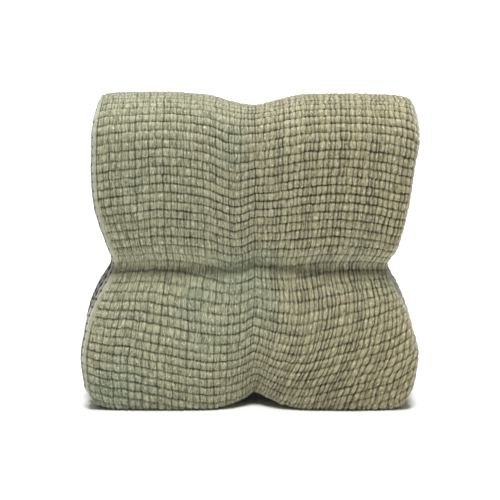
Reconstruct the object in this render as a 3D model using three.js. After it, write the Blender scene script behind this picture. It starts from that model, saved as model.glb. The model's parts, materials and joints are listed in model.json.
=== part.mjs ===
// A crinkled muslin bedspread, folded into a bundle that stands on its lower folds.
// Millimetres, +Z up. The face that shows is toward -Y, the hemmed side toward -X, and the
// origin is on the surface that it stands on, under the middle of its box.
// The cloth is one sheet. It is folded twice lengthwise, into a strip of four plies, and the
// strip is folded crosswise into six layers. Drawn in at mid-height and down the middle, the
// bundle bulges into four soft quarters.
import * as THREE from "three";

// The cloth and the spaces between its folds
const CLOTH = 4.5; // loft of the crinkled cloth
const PLY_GAP = 0.8;
const LAYER_GAP = 1.2;
const PLIES = 4;

// The bundle before it is drawn in
const HALF_WIDTH = 176;
const HEIGHT = 334;
const HEM_STEP = 2.5; // the second hem stands out past the first
const FOLD_STEP = 5; // the fold of the two plies behind the hems stands back from them
const INNER_END = 5; // how far the inner end of the strip stays off the surface

// How far the bundle reaches at each height, and its fullness there from front to back
const BY_HEIGHT = [
  { height: 0, left: 165.5, right: 166.5, full: 0.98 },
  { height: 16, left: 174, right: 175.5, full: 1.02 },
  { height: 50, left: 177.6, right: 179.8, full: 1.07 },
  { height: 85, left: 173, right: 172.5, full: 1.03 },
  { height: 115, left: 164, right: 162.5, full: 0.955 },
  { height: 138, left: 151.5, right: 150.5, full: 0.86 },
  { height: 147, left: 147, right: 147, full: 0.71 },
  { height: 154, left: 144.5, right: 146, full: 0.61 },
  { height: 162, left: 144.5, right: 149, full: 0.7 },
  { height: 172, left: 147.5, right: 155, full: 0.86 },
  { height: 195, left: 155, right: 161.5, full: 0.985 },
  { height: 230, left: 162.5, right: 169, full: 1.06 },
  { height: 270, left: 163.5, right: 175, full: 1.06 },
  { height: 305, left: 163.5, right: 180, full: 1.02 },
  { height: 334, left: 159, right: 177, full: 0.98 },
];

// The crest and the foot of the bundle from its hemmed side to its folded side
const BY_WIDTH = [
  { across: -179, crest: 321, foot: 11, full: 0.91 },
  { across: -166, crest: 328, foot: 5, full: 0.95 },
  { across: -142, crest: 333, foot: 0, full: 0.99 },
  { across: -92, crest: 334, foot: 0, full: 1.02 },
  { across: -46, crest: 331, foot: 0, full: 0.99 },
  { across: -20, crest: 324, foot: 4.5, full: 0.89 },
  { across: -6, crest: 321, foot: 9, full: 0.78 },
  { across: 5, crest: 320, foot: 15, full: 0.71 },
  { across: 17, crest: 322, foot: 11, full: 0.79 },
  { across: 33, crest: 326, foot: 5.5, full: 0.91 },
  { across: 60, crest: 331, foot: 0, full: 1.0 },
  { across: 106, crest: 332, foot: 0, full: 1.03 },
  { across: 146, crest: 331, foot: 0, full: 0.99 },
  { across: 168, crest: 328, foot: 6, full: 0.94 },
  { across: 180, crest: 320, foot: 13, full: 0.87 },
];

// The corners round off under and over these heights, at the bundle's sides alone
const CORNERS = { under: 50, over: 300, power: 6 };

// The layers in the order in which the strip runs through them. "at" is the middle of a
// layer, counted in layers behind the middle of the bundle.
const LAYERS = [
  { at: 2.5, rises: true },
  { at: -2.5, rises: false },
  { at: -1.5, rises: true },
  { at: 1.5, rises: false },
  { at: 0.5, rises: true },
  { at: -0.5, rises: false },
];

// Where the faces of the plies and layers bend
const STEPS_ACROSS = [-135, -50, -22, 5, 34, 64, 128];
const STEPS_UP = [54, 118, 154, 190];
const TOP_TURN = { square: 2.4, rise: 0.88, degrees: [36, 72, 108, 144] };
const FOOT_TURN = { square: 4, degrees: [30, 60, 120, 150] };
const WIDE_BEND = [45, 90, 135];
const TIGHT_BEND = [60, 120];

const PLY_PITCH = CLOTH + PLY_GAP;
const STRIP = PLIES * CLOTH + (PLIES - 1) * PLY_GAP;
const LAYER_PITCH = STRIP + LAYER_GAP;
const LARGEST_TURN = LAYERS[0].at * LAYER_PITCH + STRIP / 2;
const FOOT_RADIUS = LAYER_PITCH / 2 + STRIP / 2;

// A smooth curve through one column of a table, with no overshoot between its rows.
function read(table, by, column, at) {
  const last = table.length - 1;
  const slope = (i) =>
    (table[i + 1][column] - table[i][column]) / (table[i + 1][by] - table[i][by]);
  const tangent = (i) => {
    if (i === 0) return slope(0);
    if (i === last) return slope(last - 1);
    const [before, after] = [slope(i - 1), slope(i)];
    return before * after > 0 ? (2 * before * after) / (before + after) : 0;
  };
  const x = Math.min(Math.max(at, table[0][by]), table[last][by]);
  const k = Math.min(table.findLastIndex((row) => row[by] <= x), last - 1);
  const span = table[k + 1][by] - table[k][by];
  const t = (x - table[k][by]) / span;
  return (
    table[k][column] * (1 + 2 * t) * (1 - t) ** 2 +
    table[k + 1][column] * t ** 2 * (3 - 2 * t) +
    tangent(k) * span * t * (1 - t) ** 2 -
    tangent(k + 1) * span * t ** 2 * (1 - t)
  );
}

// How far a squared-off turn reaches from its middle, for a radius of 1.
function squared(angle, square) {
  const c = Math.abs(Math.cos(angle)) ** square;
  const s = Math.abs(Math.sin(angle)) ** square;
  return (c + s) ** (-1 / square);
}

const FOOT_DROP =
  FOOT_RADIUS *
  squared(THREE.MathUtils.degToRad(FOOT_TURN.degrees[1]), FOOT_TURN.square) *
  Math.sin(THREE.MathUtils.degToRad(FOOT_TURN.degrees[1]));
const TOP_START = HEIGHT - LARGEST_TURN * TOP_TURN.rise;

// The cloth's section across the strip, as x and the distance n out from the strip's middle.
// It runs from the first hem, round the outer plies, and back inside them to the second hem.
function stripSection() {
  const bendAt = HALF_WIDTH - STRIP / 2;
  const foldAt = -HALF_WIDTH + FOLD_STEP + (PLY_PITCH + CLOTH) / 2;
  const middle = [];
  const line = (from, to, n, way) => {
    const steps = [foldAt, ...STEPS_ACROSS, bendAt].filter((x) => x !== from && x !== to);
    if (way < 0) steps.reverse();
    for (const x of [from, ...steps, to]) middle.push({ x, n, out: [0, way] });
  };
  const bend = (x, n, radius, start, way, degrees) => {
    for (const d of degrees) {
      const a = THREE.MathUtils.degToRad(start - way * d);
      const [c, s] = [Math.cos(a), Math.sin(a)];
      middle.push({ x: x + radius * c, n: n + radius * s, out: [way * c, way * s] });
    }
  };
  line(-HALF_WIDTH, bendAt, 1.5 * PLY_PITCH, 1);
  bend(bendAt, 0, 1.5 * PLY_PITCH, 90, 1, WIDE_BEND);
  line(bendAt, foldAt, -1.5 * PLY_PITCH, -1);
  bend(foldAt, -PLY_PITCH, PLY_PITCH / 2, -90, 1, TIGHT_BEND);
  line(foldAt, bendAt, -0.5 * PLY_PITCH, 1);
  bend(bendAt, 0, PLY_PITCH / 2, -90, -1, TIGHT_BEND);
  line(bendAt, -HALF_WIDTH - HEM_STEP, 0.5 * PLY_PITCH, -1);
  const side = (p, way) =>
    new THREE.Vector2(p.x + (way * CLOTH * p.out[0]) / 2, p.n + (way * CLOTH * p.out[1]) / 2);
  return [
    ...middle.map((p) => side(p, -1)),
    ...middle.map((p) => side(p, 1)).reverse(),
  ];
}

// The path of the strip through its layers and turns. Each station gives the place, from
// front to back and up, of a point that lies n out from the strip's middle. Its "way" is the
// direction of travel from there, so that the faces of neighbouring plies can be cut alike.
function stripPath() {
  const stations = [];
  LAYERS.forEach((layer, i) => {
    const out = i % 2 === 0 ? 1 : -1;
    const next = LAYERS[i + 1];
    const heights = [FOOT_DROP, ...STEPS_UP, TOP_START];
    if (i === 0) heights.unshift(0);
    if (!next) heights.unshift(INNER_END);
    if (!layer.rises) heights.reverse();
    for (const z of heights) {
      const place = (n) => ({ y: layer.at * LAYER_PITCH + out * n, z });
      stations.push({ place, way: layer.rises ? 1 : -1 });
    }
    if (!next) return;
    const middle = ((layer.at + next.at) / 2) * LAYER_PITCH;
    const half = ((layer.at - next.at) / 2) * LAYER_PITCH;
    const turn = layer.rises ? TOP_TURN : FOOT_TURN;
    stations.at(-1).way = Math.sign(half);
    for (const degrees of turn.degrees) {
      const a = THREE.MathUtils.degToRad(degrees);
      const reach = squared(a, turn.square);
      const place = (n) => {
        const radius = (half + out * n) * reach;
        const up = Math.abs(radius) * Math.sin(a);
        const z = layer.rises ? TOP_START + up * TOP_TURN.rise : FOOT_DROP - up;
        return { y: middle + radius * Math.cos(a), z };
      };
      stations.push({ place, way: Math.sign(half) });
    }
  });
  return stations;
}

// Draws the plain bundle in at mid-height and down the middle, and rounds its corners.
function drawnIn(x, y, z) {
  const side = x < 0 ? "left" : "right";
  const part = x / HALF_WIDTH;
  const reach = read(BY_HEIGHT, "height", side, z);
  const level = Math.min(Math.max(z, CORNERS.under), CORNERS.over);
  const inner = read(BY_HEIGHT, "height", side, level);
  const across = part * (inner + (reach - inner) * Math.abs(part) ** CORNERS.power);
  const foot = read(BY_WIDTH, "across", "foot", across);
  const crest = read(BY_WIDTH, "across", "crest", across);
  const up = foot + (z / HEIGHT) * (crest - foot);
  const full =
    read(BY_HEIGHT, "height", "full", z) * read(BY_WIDTH, "across", "full", across);
  return [across, y * full, up];
}

// The skin of the cloth: its section carried along the path, and closed at both ends.
function foldedSheet() {
  const section = stripSection();
  const stations = stripPath();
  const count = section.length;
  const corners = stations.flatMap((station) =>
    section.flatMap((p) => {
      const { y, z } = station.place(p.y);
      return drawnIn(p.x, y, z);
    }),
  );
  const faces = [];
  for (let k = 0; k + 1 < stations.length; k += 1) {
    for (let i = 0; i < count; i += 1) {
      const j = (i + 1) % count;
      const [a, b] = [k * count + i, k * count + j];
      const [c, d] = [a + count, b + count];
      const along = Math.sign(section[j].x - section[i].x) || 1;
      if (along * stations[k].way > 0) faces.push(a, d, c, a, b, d);
      else faces.push(a, b, c, b, d, c);
    }
  }
  const end = (stations.length - 1) * count;
  for (let a = 0; a + 1 < count / 2; a += 1) {
    const [b, c, d] = [a + 1, count - 1 - a, count - 2 - a];
    faces.push(a, c, d, a, d, b);
    faces.push(end + a, end + b, end + d, end + a, end + d, end + c);
  }
  const sheet = new THREE.BufferGeometry();
  sheet.setAttribute("position", new THREE.Float32BufferAttribute(corners, 3));
  sheet.setIndex(faces);
  sheet.computeVertexNormals();
  return sheet;
}

function bedspread() {
  const muslin = new THREE.MeshStandardMaterial({
    name: "muslin",
    color: 0x96967a,
    roughness: 0.95,
    metalness: 0,
  });
  const mesh = new THREE.Mesh(foldedSheet(), muslin);
  mesh.name = "bedspread";
  return mesh;
}

const group = new THREE.Group();
group.add(bedspread());

export default group;
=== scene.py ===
"""A crinkled muslin bedspread, folded into a bundle that stands on its lower folds.

The cloth is one closed sheet that follows the folds of the CAD solid, with its crinkle as
real relief. Sizes and tables are in millimetres, and meshes are in metres.
"""

import json
import logging
import math
from dataclasses import dataclass, field
from enum import Enum
from typing import NamedTuple

import bpy
import numpy as np
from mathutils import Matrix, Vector

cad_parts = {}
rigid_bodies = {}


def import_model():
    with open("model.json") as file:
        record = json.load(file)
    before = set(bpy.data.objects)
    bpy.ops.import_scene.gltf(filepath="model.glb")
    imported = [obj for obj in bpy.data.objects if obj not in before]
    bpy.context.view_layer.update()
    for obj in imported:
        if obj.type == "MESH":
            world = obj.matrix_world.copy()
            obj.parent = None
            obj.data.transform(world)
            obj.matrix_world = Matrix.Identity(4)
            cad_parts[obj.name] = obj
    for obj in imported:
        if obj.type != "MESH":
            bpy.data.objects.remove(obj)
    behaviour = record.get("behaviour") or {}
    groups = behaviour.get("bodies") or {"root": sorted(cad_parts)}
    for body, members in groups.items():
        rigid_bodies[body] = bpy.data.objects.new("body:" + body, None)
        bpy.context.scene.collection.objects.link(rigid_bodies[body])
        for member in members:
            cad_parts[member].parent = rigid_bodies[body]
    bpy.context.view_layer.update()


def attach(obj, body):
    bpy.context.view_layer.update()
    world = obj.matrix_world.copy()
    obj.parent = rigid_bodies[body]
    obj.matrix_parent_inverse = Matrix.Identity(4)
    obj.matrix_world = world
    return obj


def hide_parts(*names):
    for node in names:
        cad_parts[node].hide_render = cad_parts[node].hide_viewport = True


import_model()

MM = 0.001
WAIST = 154  # the height at which the bundle is drawn in, in mm
VALLEY = 5  # the place across it at which it is drawn in
LOG = logging.getLogger("bedspread")
Array = np.ndarray


class HeightRow(NamedTuple):
    """How far the bundle reaches at a height, and its fullness there from front to back."""

    height: float
    left: float
    right: float
    full: float


class WidthRow(NamedTuple):
    """The crest, the foot and the fullness of the bundle at a place across it."""

    across: float
    crest: float
    foot: float
    full: float


class DriftRow(NamedTuple):
    """How far the rows of the crinkle lie above the level, in each part of the bundle."""

    across: float
    upper: float
    lower: float
    back: float


class LeanRow(NamedTuple):
    """How far the ribs have slid at the foot of the front, by their distance from the hem."""

    from_hem: float
    slid: float


class LayerRow(NamedTuple):
    """One layer of the strip, counted in layers behind the middle of the bundle."""

    at: float
    rises: bool


class WaveRow(NamedTuple):
    """One wave of the cloth, whose run is the length of one radian of it."""

    swing: float
    run: float
    start: float

    def at(self, place: Array) -> Array:
        """Gives the wave's swing at each place."""
        return self.swing * np.sin(place / self.run + self.start)


class CreaseRow(NamedTuple):
    """A soft trough of the front or the back, or a ridge where the depth is below zero."""

    front: bool
    across: float
    height: float
    turned: float
    length: float
    width: float
    depth: float


BY_HEIGHT = (
    HeightRow(0, 165.5, 166.5, 0.98),
    HeightRow(16, 174, 175.5, 1.02),
    HeightRow(50, 177.6, 179.8, 1.07),
    HeightRow(85, 173, 172.5, 1.03),
    HeightRow(115, 164, 162.5, 0.955),
    HeightRow(138, 151.5, 150.5, 0.86),
    HeightRow(147, 147, 147, 0.71),
    HeightRow(154, 144.5, 146, 0.61),
    HeightRow(162, 144.5, 149, 0.7),
    HeightRow(172, 147.5, 155, 0.86),
    HeightRow(195, 155, 161.5, 0.985),
    HeightRow(230, 162.5, 169, 1.06),
    HeightRow(270, 163.5, 175, 1.06),
    HeightRow(305, 163.5, 180, 1.02),
    HeightRow(334, 159, 177, 0.98),
)

BY_WIDTH = (
    WidthRow(-179, 321, 11, 0.91),
    WidthRow(-166, 328, 5, 0.95),
    WidthRow(-142, 333, 0, 0.99),
    WidthRow(-92, 334, 0, 1.02),
    WidthRow(-46, 331, 0, 0.99),
    WidthRow(-20, 324, 4.5, 0.89),
    WidthRow(-6, 321, 9, 0.78),
    WidthRow(5, 320, 15, 0.71),
    WidthRow(17, 322, 11, 0.79),
    WidthRow(33, 326, 5.5, 0.91),
    WidthRow(60, 331, 0, 1.0),
    WidthRow(106, 332, 0, 1.03),
    WidthRow(146, 331, 0, 0.99),
    WidthRow(168, 328, 6, 0.94),
    WidthRow(180, 320, 13, 0.87),
)

ROW_DRIFT = (
    DriftRow(-176, -7, -6, -3),
    DriftRow(-142, -4, -6, -1),
    DriftRow(-100, 0, -13, 1),
    DriftRow(-55, -3, -22, 0),
    DriftRow(-16, -12, -26, -4),
    DriftRow(6, -9, -27, -5),
    DriftRow(45, -4, -26, -1),
    DriftRow(97, 0, -14, 2),
    DriftRow(133, -3, -4, 0),
    DriftRow(172, -11, 8, -3),
)

RIB_LEAN = (
    LeanRow(140, 0),
    LeanRow(165, -4),
    LeanRow(200, -25),
    LeanRow(230, -42),
    LeanRow(270, -54),
    LeanRow(310, -57),
    LeanRow(350, -51),
    LeanRow(380, -44),
    LeanRow(420, -24),
    LeanRow(460, 0),
)

LEFT_WAVES = (WaveRow(1, 47, 1.1), WaveRow(0.6, 21, 0.3), WaveRow(0.8, 113, 0))
RIGHT_WAVES = (WaveRow(1, 53, 2.6), WaveRow(0.5, 24, 4.0), WaveRow(0.8, 97, 1))

LAYERS = (
    LayerRow(2.5, True),
    LayerRow(-2.5, False),
    LayerRow(-1.5, True),
    LayerRow(1.5, False),
    LayerRow(0.5, True),
    LayerRow(-0.5, False),
)

CREASES = (
    CreaseRow(True, 4, 0, 88, 90, 13, 7),
    CreaseRow(True, -34, 186, 140, 60, 12, 2.5),
    CreaseRow(True, 46, 190, 38, 64, 12, 2.5),
    CreaseRow(True, -40, 118, 38, 70, 13, 2.5),
    CreaseRow(True, 48, 116, 145, 70, 13, 2.5),
    CreaseRow(True, -22, 60, 80, 60, 9, -2),
    CreaseRow(True, 30, 52, 104, 70, 10, -2.5),
    CreaseRow(True, -128, 176, 158, 60, 11, 2),
    CreaseRow(True, 132, 126, 150, 60, 12, 2),
    CreaseRow(False, 5, 20, 90, 110, 13, 5),
    CreaseRow(False, -44, 190, 140, 66, 12, 2.5),
    CreaseRow(False, 50, 188, 40, 66, 12, 2.5),
    CreaseRow(False, -44, 116, 38, 66, 12, 2.5),
    CreaseRow(False, 52, 118, 142, 66, 12, 2.5),
)


@dataclass(frozen=True)
class Curve:
    """A smooth curve through a few places, with no overshoot between them."""

    places: tuple[float, ...]
    values: tuple[float, ...]

    @classmethod
    def of(cls, rows: tuple, by: str, column: str) -> "Curve":
        """Reads one column of a table.

        Args:
            rows: the rows of the table.
            by: the column that the curve runs along.
            column: the column that it gives.

        Returns:
            The curve.
        """
        return cls(tuple(getattr(r, by) for r in rows), tuple(getattr(r, column) for r in rows))

    def __call__(self, x: Array) -> Array:
        """Gives the curve's value at each x, held level past both ends.

        Args:
            x: the places to read it at.

        Returns:
            The values there.
        """
        places, values = np.array(self.places, float), np.array(self.values, float)
        gaps = np.diff(places)
        slopes = np.diff(values) / gaps
        before, after = slopes[:-1], slopes[1:]
        agree = before * after > 0
        total = np.where(agree, before + after, 1.0)
        inner = np.where(agree, 2 * before * after / total, 0.0)
        tangents = np.concatenate([slopes[:1], inner, slopes[-1:]])
        x = np.clip(x, places[0], places[-1])
        k = np.clip(np.searchsorted(places, x, side="right") - 1, 0, len(gaps) - 1)
        t = (x - places[k]) / gaps[k]
        return (
            values[k] * (1 + 2 * t) * (1 - t) ** 2
            + values[k + 1] * t**2 * (3 - 2 * t)
            + tangents[k] * gaps[k] * t * (1 - t) ** 2
            - tangents[k + 1] * gaps[k] * t**2 * (1 - t)
        )


def ease(x: Array, start: float, end: float) -> Array:
    """Goes smoothly from 0 at start to 1 at end, which may lie before it."""
    t = np.clip((x - start) / (end - start), 0.0, 1.0)
    return t * t * (3 - 2 * t)


def between(x: Array, rise: tuple[float, float], fall: tuple[float, float]) -> Array:
    """Goes smoothly up from 0 to 1 over one stretch, and down to 0 again over the other."""
    return ease(x, *rise) * (1 - ease(x, *fall))


@dataclass(frozen=True)
class FoldSizes:
    """The sizes of the cloth and its folds, as the CAD solid has them, in millimetres."""

    cloth: float = 4.5
    ply_gap: float = 0.8
    layer_gap: float = 1.2
    plies: int = 4
    half_width: float = 176
    height: float = 334
    hem_step: float = 2.5  # how far the second hem stands out past the first
    fold_step: float = 5  # how far the inner fold stays in from the hems
    inner_end: float = 5  # how high the end of the innermost layer hangs
    top_square: float = 2.4  # how squared-off the upper turns are
    top_rise: float = 0.88  # their height, as a part of a round turn's
    foot_square: float = 4  # how squared-off the lower turns are
    foot_rests_from: float = 60  # the angle from which they rest, in degrees

    @property
    def ply_pitch(self) -> float:
        """From the middle of one ply to the next."""
        return self.cloth + self.ply_gap

    @property
    def strip(self) -> float:
        """The thickness of the folded strip."""
        return self.plies * self.cloth + (self.plies - 1) * self.ply_gap

    @property
    def layer_pitch(self) -> float:
        """From the middle of one layer of the strip to the next."""
        return self.strip + self.layer_gap

    @property
    def half_depth(self) -> float:
        """From the middle of the bundle to its broad face."""
        return LAYERS[0].at * self.layer_pitch + self.strip / 2

    @property
    def foot_drop(self) -> float:
        """How high the lower turns start, so that they rest level.

        Returns:
            The height of their middle over the surface.
        """
        a = math.radians(self.foot_rests_from)
        radius = (self.layer_pitch + self.strip) / 2
        return radius * squared(np.array(a), self.foot_square) * math.sin(a)

    @property
    def top_start(self) -> float:
        """How high the upper turns start."""
        return self.height - self.half_depth * self.top_rise


def squared(angle: Array, square: float) -> Array:
    """Tells how far a squared-off turn of radius 1 reaches from its middle."""
    return (np.abs(np.cos(angle)) ** square + np.abs(np.sin(angle)) ** square) ** (-1 / square)


class Stretch(Enum):
    """The stretches of the cloth across the strip, from the first hem to the second."""

    OUTER_PLY = 0
    WIDE_BEND = 1
    BACKING_PLY = 2
    FOLD = 3
    INNER_PLY = 4
    TIGHT_BEND = 5
    HEMMED_PLY = 6


class StripSection:
    """The middle line of the cloth across the strip, by the distance s from the first hem.

    It gives a point's x, its distance n out from the strip's middle, and the direction from
    there to the upper side of the cloth.
    """

    BEND_STEPS = 36

    def __init__(self, sizes: FoldSizes) -> None:
        """Runs the line round the four plies.

        Args:
            sizes: the sizes of the folds.
        """
        self.sizes = sizes
        self.rows: list[tuple[float, float, float, float, float]] = []
        self.starts: dict[Stretch, float] = {}
        self.length = 0.0
        self.middle_length = 0.0
        pitch = sizes.ply_pitch
        inner = pitch / 2  # of the four plies, two lie this far from the strip's middle
        outer = inner + pitch  # and two lie this far
        first_hem = -sizes.half_width
        bend_at = sizes.half_width - sizes.strip / 2
        fold_at = first_hem + sizes.fold_step + (pitch + sizes.cloth) / 2
        self._run(Stretch.OUTER_PLY, first_hem, bend_at, outer)
        self._bend(Stretch.WIDE_BEND, bend_at, 0, outer, 90, 1)
        self._run(Stretch.BACKING_PLY, bend_at, fold_at, -outer)
        self._bend(Stretch.FOLD, fold_at, -pitch, inner, -90, 1)
        self._run(Stretch.INNER_PLY, fold_at, bend_at, -inner)
        self._bend(Stretch.TIGHT_BEND, bend_at, 0, inner, -90, -1)
        self._run(Stretch.HEMMED_PLY, bend_at, first_hem - sizes.hem_step, inner)
        self.table = np.array(self.rows).T

    def _run(self, stretch: Stretch, start: float, end: float, n: float) -> None:
        """Adds a flat ply.

        Args:
            stretch: the stretch of cloth that it is.
            start: where it starts across the bundle.
            end: where it ends.
            n: how far it lies out from the strip's middle.
        """
        self.starts[stretch] = self.length
        way = math.copysign(1, end - start)
        self.rows.append((self.length, start, n, 0, way))
        self.length += abs(end - start)
        self.middle_length += abs(end - start)
        self.rows.append((self.length, end, n, 0, way))

    def _bend(
        self, stretch: Stretch, x: float, n: float, radius: float, first: float, way: float
    ) -> None:
        """Adds a half turn, measured along its outer side.

        Args:
            stretch: the stretch of cloth that it is.
            x: the middle of the turn across the bundle.
            n: the middle of the turn out from the strip's middle.
            radius: the radius of the cloth's middle line.
            first: the angle at which it starts, in degrees.
            way: 1 where the upper side of the cloth is outside, and -1 where it is inside.
        """
        self.starts[stretch] = self.length
        arc = math.pi * (radius + self.sizes.cloth / 2)
        for step in range(1, self.BEND_STEPS):
            part = step / self.BEND_STEPS
            a = math.radians(first - way * 180 * part)
            c, s = math.cos(a), math.sin(a)
            self.rows.append(
                (self.length + arc * part, x + radius * c, n + radius * s, way * c, way * s)
            )
        self.length += arc
        self.middle_length += math.pi * radius

    def at(self, s: Array) -> tuple[Array, ...]:
        """Gives x, n and the upward direction's x and n at each distance s."""
        along = self.table[0]
        return tuple(np.interp(s, along, column) for column in self.table[1:])


class StripPath:
    """The path of the strip through its layers and turns, by the distance p along it.

    A point that lies n out from the strip's middle is at base + n * out, from front to back
    and up. A turn's length is measured along its outer side.
    """

    TURN_STEPS = 48

    def __init__(self, sizes: FoldSizes) -> None:
        """Runs the path from the back of the bundle to its innermost layer.

        Args:
            sizes: the sizes of the folds.
        """
        self.sizes = sizes
        self.rows: list[tuple[float, ...]] = []
        self.turns: list[tuple[float, float]] = []
        self.length = 0.0
        self.middle_length = 0.0
        for i, layer in enumerate(LAYERS):
            out = 1.0 if i % 2 == 0 else -1.0
            foot = sizes.foot_drop
            if i == 0:
                foot = 0.0
            if i == len(LAYERS) - 1:
                foot = sizes.inner_end
            heights = (foot, sizes.top_start) if layer.rises else (sizes.top_start, foot)
            y = layer.at * sizes.layer_pitch
            self.rows.append((self.length, y, heights[0], out, 0.0))
            self.length += abs(heights[1] - heights[0])
            self.middle_length += abs(heights[1] - heights[0])
            self.rows.append((self.length, y, heights[1], out, 0.0))
            if i + 1 < len(LAYERS):
                self._turn(layer, LAYERS[i + 1], out)
        self.table = np.array(self.rows).T

    def _turn(self, layer: LayerRow, following: LayerRow, out: float) -> None:
        """Adds the turn from one layer to the next, without the ends that they share.

        Args:
            layer: the layer that it follows.
            following: the layer that it leads to.
            out: 1 where the upper side of the cloth faces back, and -1 where it faces front.
        """
        sizes = self.sizes
        middle = (layer.at + following.at) / 2 * sizes.layer_pitch
        half = (layer.at - following.at) / 2 * sizes.layer_pitch
        outer = math.copysign(sizes.strip / 2, half) * out
        square = sizes.top_square if layer.rises else sizes.foot_square
        start, up = sizes.foot_drop, -1.0
        if layer.rises:
            start, up = sizes.top_start, sizes.top_rise
        up *= math.copysign(1, half)
        begin = self.length
        before = None
        middle_before = None
        for step in range(self.TURN_STEPS + 1):
            a = math.pi * step / self.TURN_STEPS
            reach = float(squared(np.array(a), square))
            c, s = reach * math.cos(a), reach * math.sin(a)
            row = (middle + half * c, start + half * s * up, out * c, out * s * up)
            skin = (row[0] + outer * row[2], row[1] + outer * row[3])
            if before:
                self.length += math.dist(before, skin)
                self.middle_length += math.dist(middle_before, row[:2])
            if 0 < step < self.TURN_STEPS:
                self.rows.append((self.length, *row))
            before, middle_before = skin, row[:2]
        self.turns.append((begin, self.length))

    def at(self, p: Array) -> tuple[Array, ...]:
        """Gives the base and the outward direction, each from front to back and up."""
        return tuple(np.interp(p, self.table[0], column) for column in self.table[1:])


class BundleForm:
    """The drawn-in form of the whole bundle, which moves each point of the plain one.

    Its corners round off outside these heights, at its sides alone.
    """

    CORNERS = (50, 300)
    CORNER_POWER = 6
    LAYER_WAVE = WaveRow(2.2, 34, 0.6)  # how the inner layers wave from side to side
    CREASE_WHOLE = 0.5  # the part of a crease that keeps its depth, from its middle
    CREASE_FADE = 1.4  # how fast the rest of it fades
    CREASE_REACH = 0.4  # where it is whole, from the middle of the bundle to its face

    def __init__(self, sizes: FoldSizes) -> None:
        """Reads the tables.

        Args:
            sizes: the sizes of the folds.
        """
        self.sizes = sizes
        self.left = Curve.of(BY_HEIGHT, "height", "left")
        self.right = Curve.of(BY_HEIGHT, "height", "right")
        self.full_up = Curve.of(BY_HEIGHT, "height", "full")
        self.crest = Curve.of(BY_WIDTH, "across", "crest")
        self.foot = Curve.of(BY_WIDTH, "across", "foot")
        self.full_across = Curve.of(BY_WIDTH, "across", "full")

    def place(self, x: Array, y: Array, z: Array) -> tuple[Array, Array, Array]:
        """Draws points of the plain bundle in at mid-height and down the middle.

        Args:
            x: where they are across the plain bundle.
            y: where they are from front to back.
            z: how high they are.

        Returns:
            Where they come to lie.
        """
        part, level = x / self.sizes.half_width, np.clip(z, *self.CORNERS)
        reach = np.where(x < 0, self.left(z), self.right(z))
        inner = np.where(x < 0, self.left(level), self.right(level))
        across = part * (inner + (reach - inner) * np.abs(part) ** self.CORNER_POWER)
        foot, crest = self.foot(across), self.crest(across)
        up = foot + z / self.sizes.height * (crest - foot)
        full = self.full_up(z) * self.full_across(across)
        inward = 1 - np.minimum(np.abs(y) / self.sizes.half_depth, 1) ** 2
        y = y * (1 - self._creased(across, y, up)) + inward * self.LAYER_WAVE.at(x)
        return across, y * full, up

    def _creased(self, x: Array, y: Array, z: Array) -> Array:
        """Gives the depth of the soft creases at each point.

        Args:
            x: where the points are across the bundle.
            y: where they are from front to back.
            z: how high they are.

        Returns:
            The depth, as a part of the bundle's half depth.
        """
        depth = np.zeros_like(x)
        for crease in CREASES:
            a = math.radians(crease.turned)
            dx, dz = x - crease.across, z - crease.height
            along = dx * math.cos(a) + dz * math.sin(a)
            aside = dz * math.cos(a) - dx * math.sin(a)
            whole = crease.length / 2 * self.CREASE_WHOLE
            past = np.maximum(np.abs(along) - whole, 0) / (crease.length / 2 - whole)
            fade = np.exp(-((aside / crease.width) ** 2) - (self.CREASE_FADE * past) ** 2)
            side = -y if crease.front else y
            reach = self.sizes.half_depth * self.CREASE_REACH
            depth += crease.depth * fade * ease(side, 0, reach)
        return depth / self.sizes.half_depth


@dataclass(frozen=True)
class Crinkle:
    """The crinkle that the cloth takes as it shrinks: ribs along the strip, cut by rows.

    Toward the hems the ribs are narrow, and every other groove between them is weak. Toward
    the folds they are wide, and every groove is firm.
    """

    narrow_rib: float = 3.8
    wide_rib: float = 5.7
    widens_from: float = 165
    widens_to: float = 205
    rib_spread: float = 0.28  # of a rib's width
    row: float = 9.4
    crown: float = 1.4  # how high a puff stands
    puff_spread: float = 0.38  # of that height
    shoulder: float = 0.88  # a puff's height off its middle, as a part of the whole
    groove: float = 0.95
    groove_middle: float = 0.85  # a rib's groove halfway along a cell, as a part of the whole
    row_groove: float = 1.3
    cell_shift: float = 0.24  # of a rib's width
    row_waver: float = 1.2
    calm_crest: float = 0.35
    calm_waist: float = 0.6
    calm_side: float = 0.6
    hem: float = 3.8
    hem_relief: float = 0.3  # of the relief elsewhere
    ragged: float = 1.1  # how far the edge of a hem puffs out, on average
    ragged_spread: float = 0.5
    seed: int = 11

    def widened(self, s: Array) -> Array:
        """Gives 0 where the ribs are narrow and 1 where they are wide."""
        return ease(s, self.widens_from, self.widens_to)

    def rib_at(self, s: Array) -> Array:
        """Gives the mean width of a rib at a distance from the first hem."""
        return self.narrow_rib + self.widened(s) * (self.wide_rib - self.narrow_rib)


@dataclass(frozen=True)
class Firmness:
    """How firmly each groove is drawn in, as a part of the firmest one.

    Where the ribs are narrow, every fourth groove is the firmest. Grooves change from cell to
    cell, and the weak ones change the most.
    """

    fourth: float = 1.0
    second: float = 0.8
    weak: float = 0.5
    wide: float = 0.86
    spread: float = 0.1
    by_cell: tuple[float, float] = (0.55, 1.15)
    steady: float = 0.7  # the part of a firm groove that doesn't change by cell
    fine_gain: float = 0.15  # for a weak groove, where the crinkle is fine
    plain_loss: float = 0.35  # for a weak groove, where the crinkle is plain
    row: tuple[float, float] = (0.78, 1.0)
    row_by_cell: tuple[float, float] = (0.7, 1.1)
    row_fine_loss: float = 0.15  # for a row, at the hems


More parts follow.
